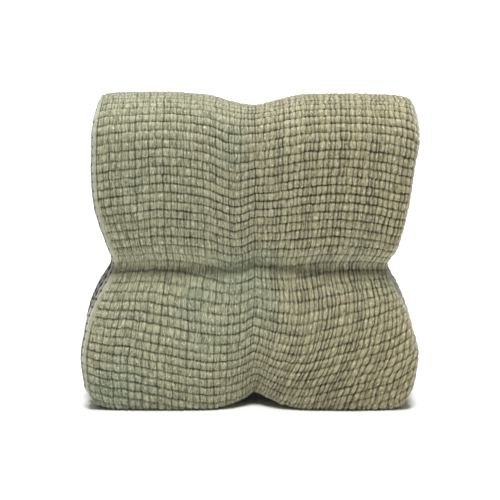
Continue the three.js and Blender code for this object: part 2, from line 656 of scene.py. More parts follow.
@dataclass(frozen=True)
class Shade:
    """How dark the shade painted into each groove is, as a part of the deepest shade."""

    joint: float = 0.95  # where a row crosses the groove between two ribs
    row: float = 0.76
    row_lean_loss: float = 0.2  # where the ribs lean
    rib: float = 0.76
    rib_lean_gain: float = 0.12
    upper_gain: float = 0.12  # over the waist, away from the hems
    plain_loss: float = 0.1
    hem_gap_shade: float = 0.3  # painted shade of the gap under the first hem, on the second hem between the rows
    cell_tone: float = 0.6  # how much of the tone goes by cell; the rest goes by strand


@dataclass(frozen=True)
class Slides:
    """Where the ribs and the rows slide over the folded cloth, in millimetres.

    A pair is where a slide starts and where it is whole, or where it starts to fade and where
    it is gone.
    """

    hang: float = 9  # how far the ribs near the hems stay out over the waist
    hang_grows: tuple[float, float] = (0, 55)  # from the first hem
    hang_fades: tuple[float, float] = (80, 170)
    hang_above: tuple[float, float] = (-80, -8)  # past the waist, along the front
    hang_below: tuple[float, float] = (-2, 50)
    lean_whole: float = 25  # past the foot of the front
    lean_fades: float = 10
    lower_drift: tuple[float, float] = (205, 85)  # heights where the lower rows' drift takes over
    crest_clear: float = 8  # each way from the middle of the crest
    front_whole: float = 20  # past the start of the front
    front_fades: tuple[float, float] = (30, 260)  # past the lower turn
    back_grows: float = 40
    back_fades: float = 20  # before the end of the back


@dataclass(frozen=True)
class ZoneEdges:
    """Where each zone of the crinkle starts and where it is whole, in millimetres.

    Those of the calm stretches are where they are calmest and where they end.
    """

    lower: tuple[float, float] = (-21, 19)  # along the front, past the waist
    hemward: tuple[float, float] = (-20, 60)  # from the middle toward the hems
    hems: tuple[float, float] = (60, 130)
    fine_before: float = 120  # how far before the front it starts to be fine
    leaning: tuple[float, float] = (0, 70)  # from the middle toward the folded side
    calm_crest: tuple[float, float] = (10, 55)  # each way from the middle of the crest
    calm_waist: tuple[float, float] = (3, 14)


@dataclass(frozen=True)
class Facing:
    """Which ways the skin of the strip faces where its relief shows, as parts of straight out."""

    outward: tuple[float, float] = (-0.9, 0.1)
    sideways: tuple[float, float] = (0.1, 0.7)
    calm_side: tuple[float, float] = (0.55, 1)
    fold_relief: float = 0.7  # of the relief elsewhere


@dataclass(frozen=True)
class Wander:
    """How far the edges of the strip stray, as multiples of their waves."""

    shown: float = 0.5
    hidden_more: float = 1.1
    grows: float = 60  # each way from the end of the layers that show
    edge_from: float = 90  # across, from the middle


class Zones(NamedTuple):
    """How far each point lies in each zone where the crinkle looks different."""

    upper: Array
    hemward: Array
    hems: Array
    fine: Array
    plain: Array
    leaning: Array


@dataclass
class Lines:
    """The lines of the mesh one way over the sheet, in the order of their places.

    A line's count is how many ribs or rows lie before it, with the part of the one that it
    is in. A coarse face reaches from one major line to the next.
    """

    places: list[float] = field(default_factory=list)
    counts: list[float] = field(default_factory=list)
    major: list[bool] = field(default_factory=list)

    def add(self, place: float, major: bool, count: float = math.nan) -> None:
        """Adds a line past the last one, and none if it isn't past.

        Args:
            place: where it is.
            major: whether coarse faces end there.
            count: how many ribs or rows lie before it, if it is counted.
        """
        if self.places and place <= self.places[-1] + 1e-6:
            return
        self.places.append(place)
        self.counts.append(count)
        self.major.append(major)

    def fill(self, end: float, step: float) -> None:
        """Adds major lines, up to and with the end.

        Args:
            end: where the last one is.
            step: about how far apart they are.
        """
        start = self.places[-1]
        count = max(1, round((end - start) / step))
        for k in range(1, count + 1):
            self.add(start + (end - start) * k / count, True)

    def split(self) -> tuple[Array, Array, Array]:
        """Splits the counts.

        Returns:
            Which lines have a count, its whole number and the rest of it.
        """
        counts = np.array(self.counts)
        known = ~np.isnan(counts)
        counts = np.where(known, counts, 0)
        whole = np.floor(counts + 1e-9).astype(int)
        return known, whole, np.where(counts - whole < 1e-6, 0, counts - whole)


def sheet_blocks(major: Array) -> list[tuple[int, int]]:
    """Gives the first and last line of each block between neighbouring major lines."""
    marks = np.flatnonzero(major)
    return list(zip(marks[:-1].tolist(), marks[1:].tolist()))


class Mark(Enum):
    """What the finish reads at a point of the cloth: first what the mesh carries for it."""

    # the shade painted into the grooves and into the gap under the first hem, with the stitch dots
    # of the second hem, as the mesh carries it
    GROOVE = "groove"
    TONE = "tone"
    HEM = "hem"
    SECOND_HEM = "second hem"
    THREADS = "threads"
    PICKS = "picks"
    # pale specks painted as highlights on slubs
    FLECKS = "flecks"
    PATCHES = "patches"
    BLOTCHES = "blotches"
    WARMTH = "warmth"
    # that painted shade with the stitch dots, as the finish lays it on
    DEPTH = "depth"


@dataclass
class Bedspread:
    """The folded sheet: its lines, its relief, its closed mesh and its finish."""

    sizes: FoldSizes = FoldSizes()
    crinkle: Crinkle = Crinkle()
    firmness: Firmness = Firmness()
    shade: Shade = Shade()
    slides: Slides = Slides()
    edges: ZoneEdges = ZoneEdges()
    facing: Facing = Facing()
    wander: Wander = Wander()
    plain_lines: tuple[float, ...] = (-138, -96, -50, -28, -14, -4, 5, 15, 26, 40, 66, 98, 132)
    valley_half: float = 30
    valley_step: float = 7
    block_step: float = 28
    wide_from: float = 4.8  # a rib this wide has two lines between its grooves, else one
    wide_shoulders: tuple[float, ...] = (0.3, 0.7)
    narrow_top: tuple[float, ...] = (0.5,)
    bend_step: float = 4
    fold_step: float = 3
    past_bend: float = 42
    rows_apart: int = 4
    turn_margin: float = 10
    waist_half: float = 30
    fine_waist_below: float = 10
    back_parts: tuple[float, ...] = (0.0, 0.25, 0.75)  # of a row
    front_parts: tuple[float, ...] = (0.0, 0.2, 0.5, 0.8)
    hidden_parts: tuple[float, ...] = (0.0, 0.5)
    seen_above_foot: float = 160  # how far up the front the first layer's sides are fine

    def __post_init__(self) -> None:
        """Works out the folds and the lines."""
        self.section = StripSection(self.sizes)
        self.path = StripPath(self.sizes)
        self.form = BundleForm(self.sizes)
        self.rng = np.random.default_rng(self.crinkle.seed)
        self.across = self._lines_across()
        self.along = self._lines_along()

    def _lines_across(self) -> Lines:
        """Lays the lines across the strip: hem, ribs, bends and the plies that are hidden.

        Returns:
            The lines.
        """
        starts, crinkle = self.section.starts, self.crinkle
        lines = Lines()
        lines.add(0, True)
        lines.add(crinkle.hem / 2, False)
        lines.add(crinkle.hem, True, 0)
        edges = self._rib_edges(crinkle.hem, starts[Stretch.BACKING_PLY] + self.past_bend)
        self.rib_count = len(edges) - 1
        bend_from = starts[Stretch.WIDE_BEND] - self.past_bend / 4
        valley = self.sizes.half_width + VALLEY
        last_major = crinkle.hem
        for k, (start, end) in enumerate(zip(edges, edges[1:])):
            shoulders = self.wide_shoulders if end - start > self.wide_from else self.narrow_top
            for part in shoulders:
                lines.add(start + part * (end - start), False, k + part)
            step = self.valley_step if abs(end - valley) < self.valley_half else self.block_step
            major = end > bend_from or end - last_major >= step or k + 1 == self.rib_count
            lines.add(end, major, k + 1)
            last_major = end if major else last_major
        self._add_ply(lines, Stretch.BACKING_PLY, starts[Stretch.FOLD] - self.bend_step)
        lines.fill(starts[Stretch.INNER_PLY] + self.bend_step, self.fold_step)
        self._add_ply(lines, Stretch.INNER_PLY, starts[Stretch.TIGHT_BEND])
        lines.fill(starts[Stretch.HEMMED_PLY], self.bend_step)
        self._add_ply(lines, Stretch.HEMMED_PLY, self.section.length - crinkle.hem)
        lines.add(self.section.length - crinkle.hem / 2, False)
        lines.add(self.section.length, True)
        return lines

    def _rib_edges(self, start: float, end: float) -> list[float]:
        """Spaces the grooves between the ribs unevenly.

        Args:
            start: the first groove's distance from the first hem.
            end: the last groove's distance.

        Returns:
            The distances of all of them.
        """
        edges = [start]
        while edges[-1] < end:
            width = float(self.crinkle.rib_at(np.array(edges[-1])))
            width *= 1 + self.crinkle.rib_spread * self.rng.uniform(-1, 1)
            edges.append(edges[-1] + width)
        fit = (end - start) / (edges[-1] - start)
        return [start + (edge - start) * fit for edge in edges]

    def _add_ply(self, lines: Lines, ply: Stretch, end: float) -> None:
        """Adds the few lines of a hidden flat ply.

        Args:
            lines: the lines that they are added to.
            ply: the ply.
            end: the distance of its last line.
        """
        start = self.section.starts[ply]
        x = float(self.section.at(np.array([start]))[0][0])
        way = -1 if ply is not Stretch.INNER_PLY else 1
        for place in sorted(start + way * (line - x) for line in self.plain_lines):
            if lines.places[-1] + self.bend_step < place < end - self.bend_step:
                lines.add(place, True)
        lines.add(end, True)

    def _lines_along(self) -> Lines:
        """Lays the lines along the path: four to a row in front, and fewer elsewhere.

        Returns:
            The lines.
        """
        lines = Lines()
        self.shown_end = self.path.turns[1][1]
        crest_from = self.path.turns[0][0]
        stretches = (
            (0.0, crest_from, self.back_parts),
            (crest_from, self.shown_end, self.front_parts),
            (self.shown_end, self.path.length, self.hidden_parts),
        )
        row = 0
        for start, end, parts in stretches:
            count = round((end - start) / self.crinkle.row)
            pitch = (end - start) / count
            for k in range(count):
                at = start + pitch * k
                for part in parts:
                    place = at + part * pitch
                    lines.add(place, self._keeps(place, k, part), row + part)
                row += 1
        lines.add(self.path.length, True, row)
        self.row_count = row + 1
        return lines

    def _keeps(self, at: float, k: int, part: float) -> bool:
        """Tells whether a line is a major one: close ones in turns and the waist, else few.

        Args:
            at: the line's place along the path.
            k: the row that it is in.
            part: the part of that row which lies before it.

        Returns:
            Whether coarse faces end there.
        """
        margin = self.turn_margin
        turning = any(start - margin <= at <= end + margin for start, end in self.path.turns)
        over_waist = float(self.path.at(np.array([at]))[1][0]) - WAIST
        back_end, front = self.path.turns[0]
        if part > 0:
            in_waist = -self.fine_waist_below < over_waist < self.waist_half
            return part == 0.5 and front < at < self.shown_end and in_waist
        if turning:
            return not back_end < at < front or k % 2 == 0
        return abs(over_waist) < self.waist_half or k % self.rows_apart == 0

    def _grid(self) -> tuple[Array, Array]:
        """Gives the nominal distances across and along, as a grid."""
        return np.meshgrid(np.array(self.across.places), np.array(self.along.places), indexing="ij")

    def _slides(self, s: Array, p: Array) -> tuple[Array, Array]:
        """Slides the lines over the folded cloth, as its ribs and rows run out of true.

        Args:
            s: the distances across the strip.
            p: the distances along it.

        Returns:
            The slid distances.
        """
        slides = self.slides
        (back_end, front), (front_end, foot_end) = self.path.turns[:2]
        crest = (back_end + front) / 2
        level = front + self.sizes.top_start  # less a height, it is the place in front there
        waist = level - WAIST
        lean = Curve.of(RIB_LEAN, "from_hem", "slid")(s)
        lean_whole, lean_fades = front_end + slides.lean_whole, front_end + slides.lean_fades
        lean = lean * between(p, (waist, lean_whole), (lean_fades, foot_end))
        hang = slides.hang * between(s, slides.hang_grows, slides.hang_fades)
        lean -= hang * between(p - waist, slides.hang_above, slides.hang_below)
        x = self.section.at(s + lean)[0]
        drift = {c: Curve.of(ROW_DRIFT, "across", c)(x) for c in ("upper", "lower", "back")}
        share = ease(level - p, *slides.lower_drift)
        ahead = drift["upper"] * (1 - share) + drift["lower"] * share
        grows = (crest + slides.crest_clear, front + slides.front_whole)
        fades = (foot_end + slides.front_fades[0], foot_end + slides.front_fades[1])
        ahead *= between(p, grows, fades)
        fades = (back_end - slides.back_fades, crest - slides.crest_clear)
        behind = drift["back"] * between(p, (0, slides.back_grows), fades)
        return s + lean, p - ahead + behind

    def _unevenness(self) -> tuple[Array, Array]:
        """Shifts each cell's edges a little, so that cells don't line up from row to row.

        Returns:
            The shifts across and along.
        """
        ribbed, rib, across = self.across.split()
        _, row, along = self.along.split()
        places = np.array(self.across.places)
        joint = along == 0
        aside = self.rng.uniform(-1, 1, (self.rib_count + 2, self.row_count))
        aside[[0, self.rib_count, self.rib_count + 1]] = 0
        aside = aside[rib] * (1 - across[:, None]) + aside[rib + 1] * across[:, None]
        shifts = aside[:, row]
        shifts[:, joint] = (aside[:, row[joint]] + aside[:, np.maximum(row[joint] - 1, 0)]) / 2
        shifts *= (self.crinkle.cell_shift * self.crinkle.rib_at(places) * ribbed)[:, None]
        waver = self.rng.uniform(-1, 1, (len(places), self.row_count))
        waver = (waver + np.roll(waver, 1, axis=0) + np.roll(waver, 2, axis=0)) / 3
        wavers = waver[:, row] * self.crinkle.row_waver
        wavers[:, [0, -1]] = 0
        return shifts, wavers

    def _zones(self, s: Array, p: Array) -> Zones:
        """Divides the cloth into the zones where the crinkle looks different.

        Args:
            s: the nominal distances across the strip.
            p: the nominal distances along it.

        Returns:
            A share from 0 to 1 at each point, for each zone.
        """
        x = self.section.at(s)[0]
        front = self.path.turns[0][1]
        waist = front + self.sizes.top_start - WAIST
        edges = self.edges
        upper = 1 - ease(p - waist, *edges.lower)
        hemward = ease(-x, *edges.hemward)
        return Zones(
            upper=upper,
            hemward=hemward,
            hems=ease(-x, *edges.hems),
            fine=hemward * upper * ease(p, front - edges.fine_before, front),
            plain=hemward * (1 - upper) * (p < self.shown_end),
            leaning=(1 - upper) * ease(x, *edges.leaning),
        )

    def _rib_strength(self, zones: Zones) -> Array:
        """Gives how firmly the groove between each rib and the next is drawn in.

        Args:
            zones: the zones of the crinkle.

        Returns:
            The strength at each point, which is 0 off the grooves.
        """
        firmness, rng = self.firmness, self.rng
        ribbed, rib, across = self.across.split()
        row = self.along.split()[1]
        widened = self.crinkle.widened(np.array(self.across.places))
        steps = [rib % 4 == 0, rib % 2 == 0]
        narrow = np.select(steps, [firmness.fourth, firmness.second], firmness.weak)
        firm = narrow + widened * (firmness.wide - narrow)
        firm = firm + firmness.spread * rng.uniform(-1, 1, len(rib))
        loose = rng.uniform(*firmness.by_cell, (len(rib), self.row_count))[:, row]
        weak = ((rib % 2 == 1) & (widened < 0.5))[:, None]
        gain = 1 + firmness.fine_gain * zones.fine - firmness.plain_loss * zones.plain
        steady = firmness.steady + (1 - firmness.steady) * loose
        groove = ribbed & (across == 0)
        changes = np.where(weak, loose * gain, steady)
        return np.clip(firm[:, None] * changes, 0, 1) * groove[:, None]

    def _row_strength(self, zones: Zones) -> Array:
        """Gives how firmly each row's groove is drawn in, all along the row.

        Args:
            zones: the zones of the crinkle.

        Returns:
            The strength at each point.
        """
        firmness, rng = self.firmness, self.rng
        row = self.along.split()[1]
        firm = rng.uniform(*firmness.row, self.row_count)
        loose = rng.uniform(*firmness.row_by_cell, (len(self.across.places), self.row_count))
        strength = np.clip((firm[None, :] * loose)[:, row], 0, 1)
        return strength * (1 - firmness.row_fine_loss * zones.fine * zones.hems)

    def _relief(self, s: Array, p: Array) -> tuple[Array, Array]:
        """Raises the puffs and sinks the grooves, and works out the shade painted into them.

        Args:
            s: the nominal distances across the strip.
            p: the nominal distances along it.

        Returns:
            How far the upper side is lifted, and how dark the shade painted at each point of a
            groove is.
        """
        crinkle, shade = self.crinkle, self.shade
        ribbed, rib, across = self.across.split()
        _, row, along = self.along.split()
        groove = (ribbed & (across == 0))[:, None]
        joint, middle = (along == 0)[None, :], (along == 0.5)[None, :]
        zones = self._zones(s, p)
        strength = self._rib_strength(zones)
        puff = self.rng.uniform(-1, 1, (self.rib_count + 2, self.row_count))
        puff = 1 + crinkle.puff_spread * puff
        puff = np.where(groove, (puff[rib] + puff[rib - 1]) / 2, puff[rib])[:, row]
        row_strength = self._row_strength(zones)
        lift = crinkle.crown * puff * (1 - strength)
        lift *= np.where(joint, 1 - row_strength, np.where(middle, 1.0, crinkle.shoulder))
        lift -= crinkle.groove * strength * np.where(middle, crinkle.groove_middle, 1.0)
        lift -= crinkle.row_groove * row_strength * joint
        # how dark the shade painted into the rows and into the ribs' grooves is
        rows = np.where(groove, shade.joint, shade.row - shade.row_lean_loss * zones.leaning)
        ribs = (shade.rib + shade.rib_lean_gain * zones.leaning) * strength
        depth = 1 - (1 - ribs) * (1 - rows * row_strength * joint)
        gain = shade.upper_gain * zones.upper * (1 - zones.hemward)
        depth *= 1 + gain - shade.plain_loss * zones.plain
        return lift, depth

    def _shown(self, s: Array, p: Array) -> Array:
        """Gives how far the crinkle stands out at each slid place: not where cloth lies on cloth.

        Args:
            s: the slid distances across the strip.
            p: the slid distances along it.

        Returns:
            The share of the full relief at each place.
        """
        starts = self.section.starts
        _, _, out_x, out_n = self.section.at(s)
        facing = self.facing
        outside = (s < starts[Stretch.BACKING_PLY]) * ease(out_n, *facing.outward)
        foot_start, foot_end = self.path.turns[1]
        outside = outside * (1 - ease(p, (foot_start + foot_end) / 2, foot_end))
        bend = (s > starts[Stretch.WIDE_BEND]) * (s < starts[Stretch.BACKING_PLY])
        fold = (s > starts[Stretch.FOLD]) * (s < starts[Stretch.INNER_PLY])
        edges = (bend + facing.fold_relief * fold) * ease(np.abs(out_x), *facing.sideways)
        hem = np.where(s < self.crinkle.hem, self.crinkle.hem_relief, 1.0)
        return np.maximum(outside, edges) * hem

    def _calm(self, s: Array, p: Array) -> Array:
        """Gives how calm the relief is: over the crest, in the waist and on the folded side.

        Args:
            s: the slid distances across the strip.
            p: the slid distances along it.

        Returns:
            What the height of the relief is multiplied by.
        """
        crinkle = self.crinkle
        back_end, front = self.path.turns[0]
        from_crest = np.abs(p - (back_end + front) / 2)
        from_waist = np.abs(p - (front + self.sizes.top_start - WAIST))
        side = ease(self.section.at(s)[2], *self.facing.calm_side)
        bend = (s > self.section.starts[Stretch.WIDE_BEND]) * side
        calm = 1 - crinkle.calm_crest * (1 - ease(from_crest, *self.edges.calm_crest))
        calm *= 1 - crinkle.calm_waist * (1 - ease(from_waist, *self.edges.calm_waist))
        return calm * (1 - crinkle.calm_side * bend)

    def _wander(self, x: Array, p: Array) -> Array:
        """Gives how far the strip's two edges wander in and out along the path.

        Args:
            x: where the points are across the bundle.
            p: the distances along the strip.

        Returns:
            How far each point moves across, mostly in the layers that don't show.
        """
        wander = self.wander
        hidden = ease(p, self.shown_end - wander.grows, self.shown_end + wander.grows)
        left = sum(wave.at(p) for wave in LEFT_WAVES)
        right = sum(wave.at(p) for wave in RIGHT_WAVES)
        reach = (wander.edge_from, self.sizes.half_width)
        stray = left * ease(-x, *reach) + right * ease(x, *reach)
        return (wander.shown + wander.hidden_more * hidden) * stray

    def _points(self, s: Array, p: Array, side: float, lift: Array | float) -> Array:
        """Places points of the cloth's skin.

        Args:
            s: the distances across the strip.
            p: the distances along it.
            side: 1 for the upper side of the cloth, -1 for its lower side, 0 for its middle.
            lift: how far the relief stands out, in millimetres.

        Returns:
            The points in metres, with the coordinates last.
        """
        x, n, out_x, out_n = self.section.at(s)
        thick = side * (self.sizes.cloth / 2 + lift)
        beyond = lift if side == 0 else 0.0
        x = x + thick * out_x - beyond
        n = n + thick * out_n
        base_y, base_z, dir_y, dir_z = self.path.at(p)
        x = x + self._wander(x, p)
        x, y, z = self.form.place(x, base_y + n * dir_y, base_z + n * dir_z)
        return np.stack([x, y, np.maximum(z, 0)], axis=-1) * MM

    def _fine_cells(self) -> dict[int, Array]:
        """Marks the cells that keep all their lines.

        Returns:
            The marks for each side of the cloth, by 1 for the upper side and -1 for the lower.
        """
        starts, hem = self.section.starts, self.crinkle.hem
        s, p = self._grid()
        s, p = (s[:-1, :-1] + s[1:, 1:]) / 2, (p[:-1, :-1] + p[1:, 1:]) / 2
        shown = p < self.shown_end
        front_low = shown & (p > self.path.turns[1][0] - self.seen_above_foot)
        hems = (s < hem) | (s > self.section.length - hem)
        bend = (s > starts[Stretch.WIDE_BEND]) & (s < starts[Stretch.BACKING_PLY])
        fold = (s > starts[Stretch.FOLD]) & (s < starts[Stretch.INNER_PLY])
        ribs = s < starts[Stretch.BACKING_PLY]
        slid = s < starts[Stretch.BACKING_PLY] + self.past_bend
        return {1: hems | bend | fold | (ribs & shown) | (slid & front_low), -1: hems}

    def _spread(self, fine: Array) -> Array:
        """Widens fine cells to whole blocks, so that each block is fine or coarse.

        Args:
            fine: the cells that are marked as fine.

        Returns:
            The marks, alike all over each block.
        """
        whole = np.zeros_like(fine)
        for i, j in sheet_blocks(np.array(self.across.major)):
            for k, m in sheet_blocks(np.array(self.along.major)):
                if fine[i:j, k:m].mean() > 0.5:
                    whole[i:j, k:m] = True
        return whole

    def build(self) -> bpy.types.Object:
        """Makes the closed mesh of the folded sheet.

        Returns:
            The piece, named for the part.
        """
        s, p = self._grid()
        lift, depth = self._relief(s, p)
        shifts, wavers = self._unevenness()
        slid_s, slid_p = self._slides(s + shifts, p + wavers)
        shown = self._shown(slid_s, slid_p)
        upper = self._points(slid_s, slid_p, 1, lift * shown * self._calm(slid_s, slid_p))
        lower = self._points(slid_s, slid_p, -1, 0.0)
        fine = {side: self._spread(cells) for side, cells in self._fine_cells().items()}
        mesh = SheetMesh(s.shape, np.array(self.across.major), np.array(self.along.major))
        mesh.add_side(1, fine[1], upper)
        mesh.add_side(-1, fine[-1], lower)
        rib = self.across.split()[1]
        _, row, along = self.along.split()
        joint = along == 0
        ragged = self.crinkle.ragged_spread * (self.rng.uniform(-1, 1, self.row_count)[row] - joint)
        for end in (0, -1):
            edge = self._points(slid_s[end], slid_p[end], 0, self.crinkle.ragged + ragged)
            mesh.add_rim(end, edge)
        mesh.add_ends()
        flat = np.stack([s, p], axis=-1) * MM
        # the shade painted into the grooves, less where the relief is flattened
        deep = depth * np.clip(shown, 0, 1)
        hem = np.where(s < self.crinkle.hem, 1.0, 0.0)
        second_hem = np.where(self.section.length - s < self.crinkle.hem, 1.0, 0.0)
        # stitch dots on the second hem at each row, with painted shade of the gap under the first
        # hem between them
        stitch_dots_and_gap_shade = np.where(joint, 1.0, self.shade.hem_gap_shade)
        deep = np.maximum(deep, second_hem * stitch_dots_and_gap_shade[None, :])
        cells = self.rng.uniform(-1, 1, (self.rib_count + 2, self.row_count))[rib]
        strands = self.rng.uniform(-1, 1, (len(rib), self.row_count))
        by_cell = self.shade.cell_tone
        tone = (by_cell * cells + (1 - by_cell) * strands)[:, row]
        marks = {
            Mark.GROOVE: deep, Mark.HEM: hem, Mark.SECOND_HEM: second_hem, Mark.TONE: tone
        }
        return mesh.make("bedspread_cloth", flat, marks)


class SheetMesh:
    """A closed mesh of two sides, two rims and two ends, over one grid of lines.

    A side's cells are quads where they are fine. Elsewhere one face covers a whole block,
    and takes in the points of the finer faces round it.
    """

    def __init__(self, shape: tuple[int, int], major_s: Array, major_p: Array) -> None:
        """Starts an empty mesh over the grid.

        Args:
            shape: how many lines the grid has each way.
            major_s: which lines across the strip are major ones.
            major_p: which lines along it are.
        """
        self.shape = shape
        self.blocks_s, self.blocks_p = sheet_blocks(major_s), sheet_blocks(major_p)
        self.ids: dict[int, Array] = {}
        self.rims: dict[int, Array] = {}
        self.points: list[Array] = []
        self.places: list[tuple[int, int]] = []
        self.count = 0
        self.faces: list[list[int]] = []

    def _take(self, points: Array, places: Array) -> Array:
        """Adds points.

        Args:
            points: where they are.
            places: their places in the grid.

        Returns:
            Their numbers in the mesh.
        """
        numbers = np.arange(self.count, self.count + len(points))
        self.points.append(points)
        self.places.append(places)
        self.count += len(points)
        return numbers

    def add_side(self, side: int, fine: Array, points: Array) -> None:
        """Adds one side of the cloth.

        Args:
            side: 1 for the upper side and -1 for the lower one.
            fine: the cells that are quads of their own.
            points: where each point of the grid is.
        """
        used = np.zeros(self.shape, bool)
        cells = np.argwhere(fine)
        for di, dk in ((0, 0), (0, 1), (1, 0), (1, 1)):
            used[cells[:, 0] + di, cells[:, 1] + dk] = True
        coarse = [
            (i, j, k, m)
            for i, j in self.blocks_s
            for k, m in self.blocks_p
            if not fine[i, k]
        ]
        for i, j, k, m in coarse:
            used[np.ix_((i, j), (k, m))] = True
        where = np.argwhere(used)
        ids = np.full(self.shape, -1)
        ids[used] = self._take(points[used], where)
        self.ids[side] = ids
        a, b = ids[cells[:, 0], cells[:, 1]], ids[cells[:, 0], cells[:, 1] + 1]
        c, d = ids[cells[:, 0] + 1, cells[:, 1] + 1], ids[cells[:, 0] + 1, cells[:, 1]]
        quads = np.stack([a, b, c, d] if side > 0 else [d, c, b, a], axis=1)
        self.faces.extend(quads.tolist())
        for i, j, k, m in coarse:
            ring = np.concatenate(
                [ids[i, k:m], ids[i:j, m], ids[j, m:k:-1], ids[j:i:-1, k]]
            )
            ring = ring[ring >= 0]
            self.faces.append((ring if side > 0 else ring[::-1]).tolist())

    def add_rim(self, end: int, points: Array) -> None:
        """Rounds a hem's edge over one line of points along its middle.

        Args:
            end: 0 for the first hem and -1 for the second.
            points: the line of points.
        """
        row = 0 if end == 0 else self.shape[0] - 1
        places = np.stack([np.full(len(points), row), np.arange(len(points))], axis=1)
        edge = self._take(points, places)
        self.rims[end] = edge
        top, under = self.ids[1][row], self.ids[-1][row]
        upper = np.stack([top[1:], top[:-1], edge[:-1], edge[1:]], axis=1)
        lower = np.stack([under[:-1], under[1:], edge[1:], edge[:-1]], axis=1)
        for quads in (upper, lower):
            self.faces.extend((quads if end == 0 else quads[:, ::-1]).tolist())

    def add_ends(self) -> None:
        """Closes the sheet where its path starts and ends."""
        for k in (0, self.shape[1] - 1):
            for number, (i, j) in enumerate(self.blocks_s):
                top = self.ids[1][i : j + 1, k]
                under = self.ids[-1][i : j + 1, k][::-1]
                ring = np.concatenate([top, under])
                if number == len(self.blocks_s) - 1:
                    ring = np.concatenate([top, self.rims[-1][[k]], under])
                if number == 0:
                    ring = np.concatenate([ring, self.rims[0][[k]]])
                ring = ring[ring >= 0]
                self.faces.append((ring if k == 0 else ring[::-1]).tolist())

    def make(self, name: str, flat: Array, marks: dict[Mark, Array]) -> bpy.types.Object:
        """Makes the piece.

        Args:
            name: the piece's name.
            flat: where each point of the grid lies on the flat cloth, in metres.
            marks: what each point of the grid carries for the finish.

        Returns:
            The piece, with a UV map of the flat cloth.
        """
        places = np.concatenate(self.places)
        mesh = bpy.data.meshes.new(name)
        mesh.from_pydata(np.concatenate(self.points).tolist(), [], self.faces)
        mesh.shade_smooth()
        corner = np.empty(len(mesh.loops), np.int32)
        mesh.loops.foreach_get("vertex_index", corner)
        uv = mesh.uv_layers.new(name="cloth")
        flat_points = flat[places[:, 0], places[:, 1]]
        uv.data.foreach_set("uv", flat_points[corner].ravel().astype(np.float32))
        for mark, values in marks.items():
            layer = mesh.attributes.new(mark.value, "FLOAT", "POINT")
            layer.data.foreach_set("value", values[places[:, 0], places[:, 1]].astype(np.float32))
        mesh.validate()
        piece = bpy.data.objects.new(name, mesh)
        bpy.context.scene.collection.objects.link(piece)
        return piece


def linear(code: str) -> tuple[float, float, float, float]:
    """Turns an sRGB hex colour into linear RGBA."""
    parts = [int(code[i : i + 2], 16) / 255 for i in (1, 3, 5)]
    return (*(c / 12.92 if c <= 0.04045 else ((c + 0.055) / 1.055) ** 2.4 for c in parts), 1.0)


def add_node(tree: bpy.types.NodeTree, kind: str, settings: dict, links: dict) -> bpy.types.Node:
    """Adds a node.

    Args:
        tree: the node tree.
        kind: the node's type.
        settings: its properties, and its inputs' values by name or number.
        links: the output that feeds each input, by the input's name or number.

    Returns:
        The node.
    """
    node = tree.nodes.new(kind)
    for key, value in settings.items():
        if isinstance(key, str) and hasattr(node, key):
            setattr(node, key, value)
        else:
            node.inputs[key].default_value = value
    for key, output in links.items():
        tree.links.new(output, node.inputs[key])
    return node


class Span(NamedTuple):
    """A stretch of a mark's values, from where it gives the least to where it gives the most."""

    low: float
    high: float
    most: float = 1.0
    least: float = 0.0

    def settings(self) -> dict[str, float]:
        """Gives the settings of the node that reads it."""
        ends = {"From Min": self.low, "From Max": self.high}
        return ends | {"To Min": self.least, "To Max": self.most}


class PatternRow(NamedTuple):
    """An uneven pattern over the flat cloth, by its size across the strip and along it."""

    mark: Mark
    across_mm: float
    along_mm: float


class ColourRow(NamedTuple):
    """A colour over those before it, as far as a mark calls for it."""

    mark: Mark
    span: Span
    colour: str


